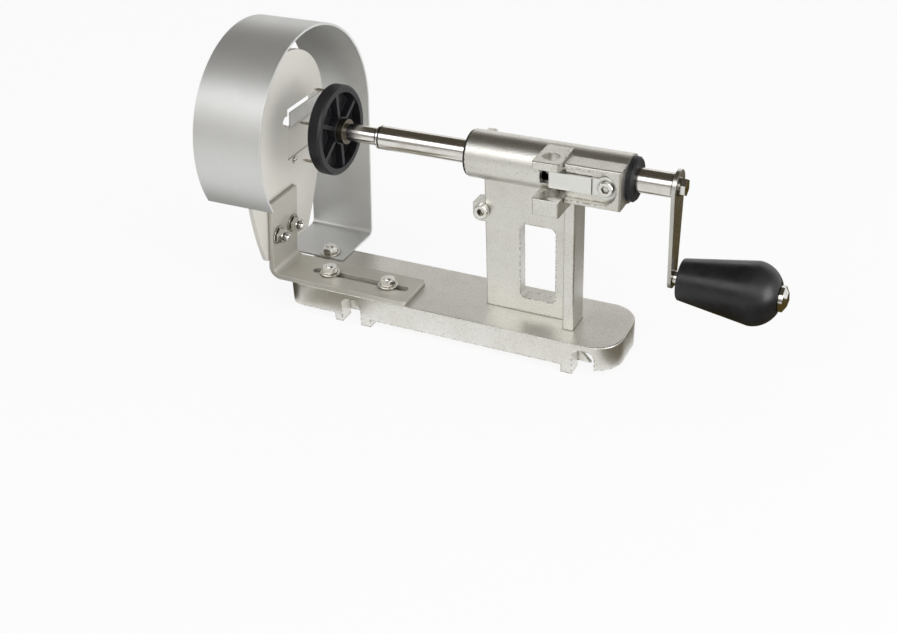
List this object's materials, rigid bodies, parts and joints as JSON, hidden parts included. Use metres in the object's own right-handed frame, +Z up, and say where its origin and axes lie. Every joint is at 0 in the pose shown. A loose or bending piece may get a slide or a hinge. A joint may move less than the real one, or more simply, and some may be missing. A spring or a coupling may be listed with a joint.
{
  "type": "spiral potato cutter",
  "caption": "Hand cranked spiral potato cutter: cast base and upright, sliding crank rod with a spiked wheel and knob, slotted cutter plate with blade under a round sheet guard",
  "frame": {"origin": "middle of the underside of the whole cutter, in the middle of its overall box, on the table", "axes": "+X along the shaft from the blade to the crank, +Y from the operator's side (crank knob at the right hand) to the far side, +Z up"},
  "size_m": [0.383, 0.1464, 0.21],
  "materials": {
    "casting": "satin cast metal with bright worn edges",
    "bush_plastic": "black satin plastic",
    "bar_steel": "machined steel",
    "guard_steel": "brushed stainless sheet",
    "bracket_steel": "satin stainless plate, warm grey",
    "plate_steel": "satin stainless plate, warm grey",
    "blade_steel": "ground steel",
    "polished_rod": "polished round bar",
    "wheel_plastic": "black moulded plastic, half gloss",
    "arm_steel": "satin flat steel",
    "knob_plastic": "black moulded plastic, glossy",
    "plated_steel": "bright plated fasteners"
  },
  "bodies": {
    "bench": {"base_casting": "casting", "headstock_casting": "casting", "front_bush": "bush_plastic", "rear_bush": "bush_plastic", "side_bar": "bar_steel", "side_bar_screw": "plated_steel", "lug_screw": "plated_steel", "foot_screw_1": "plated_steel", "foot_screw_2": "plated_steel", "guard_band": "guard_steel", "guard_bolt": "plated_steel", "guard_washer": "plated_steel", "guard_nut": "plated_steel", "slot_bolt_1": "plated_steel", "slot_bolt_2": "plated_steel", "slot_washer_1": "plated_steel", "slot_washer_2": "plated_steel", "slot_nut_1": "plated_steel", "slot_nut_2": "plated_steel"},
    "cutter_head": {"angle_bracket": "bracket_steel", "cutter_plate": "plate_steel", "blade": "blade_steel", "blade_screw": "plated_steel", "ramp_screw_1": "plated_steel", "ramp_screw_2": "plated_steel", "head_bolt_1": "plated_steel", "head_bolt_2": "plated_steel", "head_washer_1": "plated_steel", "head_washer_2": "plated_steel", "head_nut_1": "plated_steel", "head_nut_2": "plated_steel"},
    "feed_sleeve": {"slide_sleeve": "polished_rod"},
    "spinner": {"crank_rod": "polished_rod", "stop_ring": "polished_rod", "wheel_collar": "polished_rod", "pusher_wheel": "wheel_plastic", "wheel_spike_1": "plated_steel", "wheel_spike_2": "plated_steel", "wheel_spike_3": "plated_steel", "wheel_spike_4": "plated_steel", "wheel_spike_5": "plated_steel", "wheel_spike_6": "plated_steel", "crank_arm": "arm_steel", "crank_washer": "plated_steel", "crank_bolt": "plated_steel", "knob_axle": "plated_steel", "knob_spacer": "plated_steel"},
    "knob_grip": {"knob": "knob_plastic"}
  },
  "joints": [
    {"name": "feed_slide", "type": "slide", "parent": "bench", "child": "feed_sleeve", "axis": [1, 0, 0], "range_m": [-0.018, 0.08]},
    {"name": "crank_spin", "type": "hinge", "parent": "feed_sleeve", "child": "spinner", "pos_m": [0, 0.001, 0.1391], "axis": [1, 0, 0], "continuous": true},
    {"name": "knob_spin", "type": "hinge", "parent": "spinner", "child": "knob_grip", "pos_m": [0.1534, 0.001, 0.0743], "axis": [1, 0, 0], "continuous": true},
    {"name": "head_adjust", "type": "slide", "parent": "bench", "child": "cutter_head", "axis": [1, 0, 0], "range_m": [-0.009, 0.003]}
  ]
}
